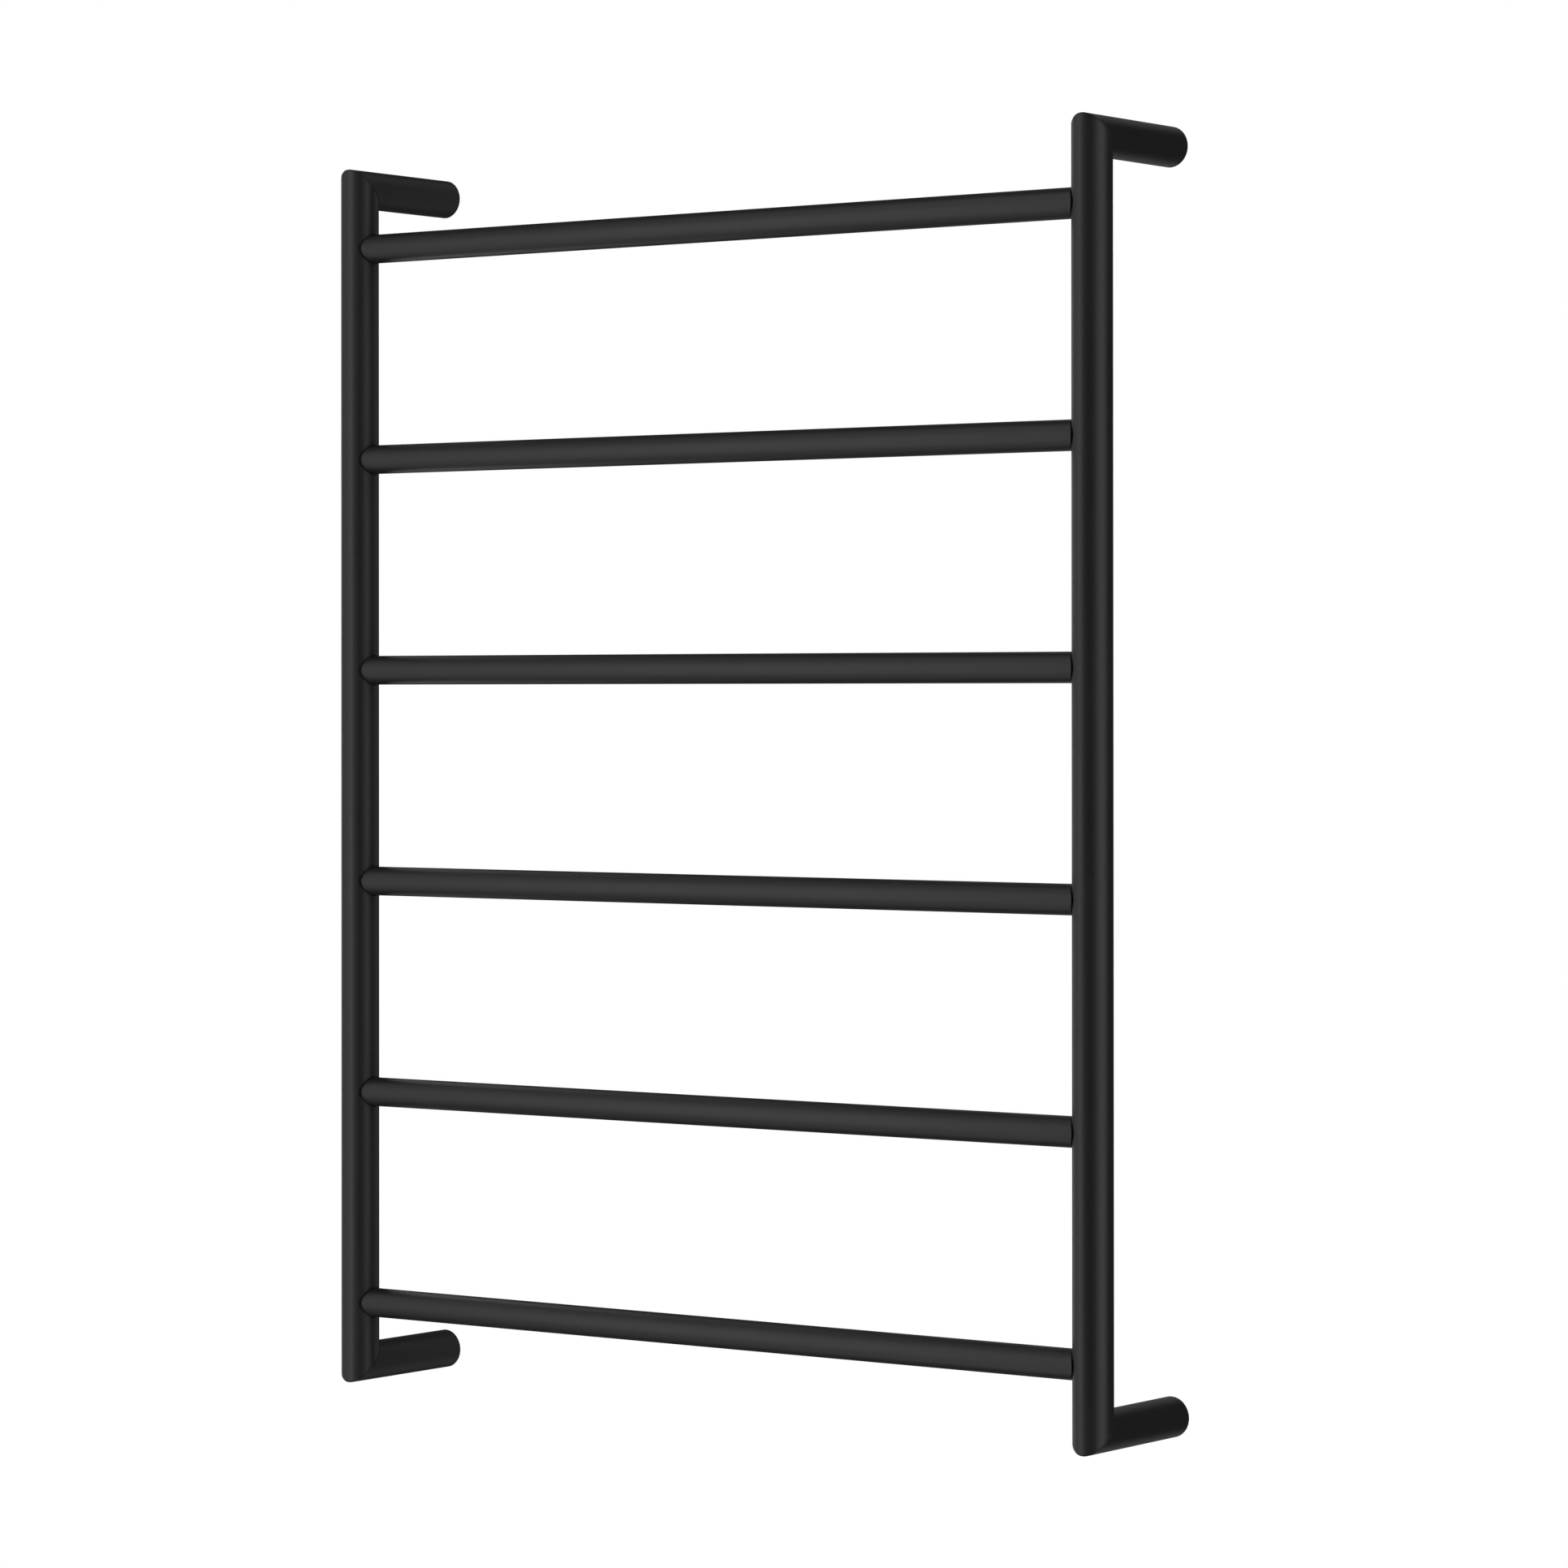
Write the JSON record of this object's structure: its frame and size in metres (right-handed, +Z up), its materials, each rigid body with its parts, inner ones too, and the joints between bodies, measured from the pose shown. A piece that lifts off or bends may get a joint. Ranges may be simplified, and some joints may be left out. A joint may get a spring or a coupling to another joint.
{
  "type": "heated towel rail",
  "caption": "Wall-mounted electric towel warmer: a ladder of round black tubes, mitred to arms that stand it off the wall.",
  "frame": {"origin": "on the wall plane, in the middle of the four wall screws", "axes": "+X to the right of someone facing the rack, +Y into the wall, +Z up"},
  "size_m": [0.6, 0.1015, 0.8],
  "materials": {
    "powder_coat": "fine matt black powder coat over stainless steel tube",
    "ferrule_steel": "blackened stainless steel, turned",
    "boss_steel": "turned, bright zinc plate",
    "screw_steel": "stainless screw",
    "clip_steel": "sprung stainless strip",
    "seal_rubber": "soft black rubber",
    "lead_sheath": "matt silicone sheath",
    "heating_sheath": "matt red silicone sheath",
    "joint_resin": "moulded black sleeve",
    "cutout_sleeve": "woven glass sleeve set in varnish",
    "terminal_nylon": "natural white nylon",
    "terminal_brass": "bare brass",
    "live_insulation": "brown",
    "neutral_insulation": "blue",
    "earth_insulation": "green and yellow"
  },
  "bodies": {
    "root": {"upright_left": "powder_coat", "upright_right": "powder_coat", "arm_upper_left": "powder_coat", "arm_upper_right": "powder_coat", "arm_lower_left": "powder_coat", "arm_lower_right": "powder_coat", "mitre_weld_upper_left": "powder_coat", "mitre_weld_upper_right": "powder_coat", "mitre_weld_lower_left": "powder_coat", "mitre_weld_lower_right": "powder_coat", "crossbar_1": "powder_coat", "crossbar_2": "powder_coat", "crossbar_3": "powder_coat", "crossbar_4": "powder_coat", "crossbar_5": "powder_coat", "crossbar_6": "powder_coat", "ferrule_left_1": "ferrule_steel", "ferrule_right_1": "ferrule_steel", "ferrule_left_2": "ferrule_steel", "ferrule_right_2": "ferrule_steel", "ferrule_left_3": "ferrule_steel", "ferrule_right_3": "ferrule_steel", "ferrule_left_4": "ferrule_steel", "ferrule_right_4": "ferrule_steel", "ferrule_left_5": "ferrule_steel", "ferrule_right_5": "ferrule_steel", "ferrule_left_6": "ferrule_steel", "ferrule_right_6": "ferrule_steel", "wall_boss_upper_left": "boss_steel", "wall_boss_upper_right": "boss_steel", "wall_boss_lower_left": "boss_steel", "wall_boss_lower_right": "boss_steel", "set_screws": "screw_steel", "cable_seal": "seal_rubber", "cold_lead": "lead_sheath", "cold_joint": "joint_resin", "heating_cable": "heating_sheath", "cable_end_seal": "joint_resin", "thermal_cutout": "cutout_sleeve", "terminal_block": "terminal_nylon", "terminal_tubes": "terminal_brass", "terminal_screws": "screw_steel", "live_core": "live_insulation", "neutral_core": "neutral_insulation", "earth_wire": "earth_insulation", "earth_clip": "clip_steel"}
  },
  "joints": []
}
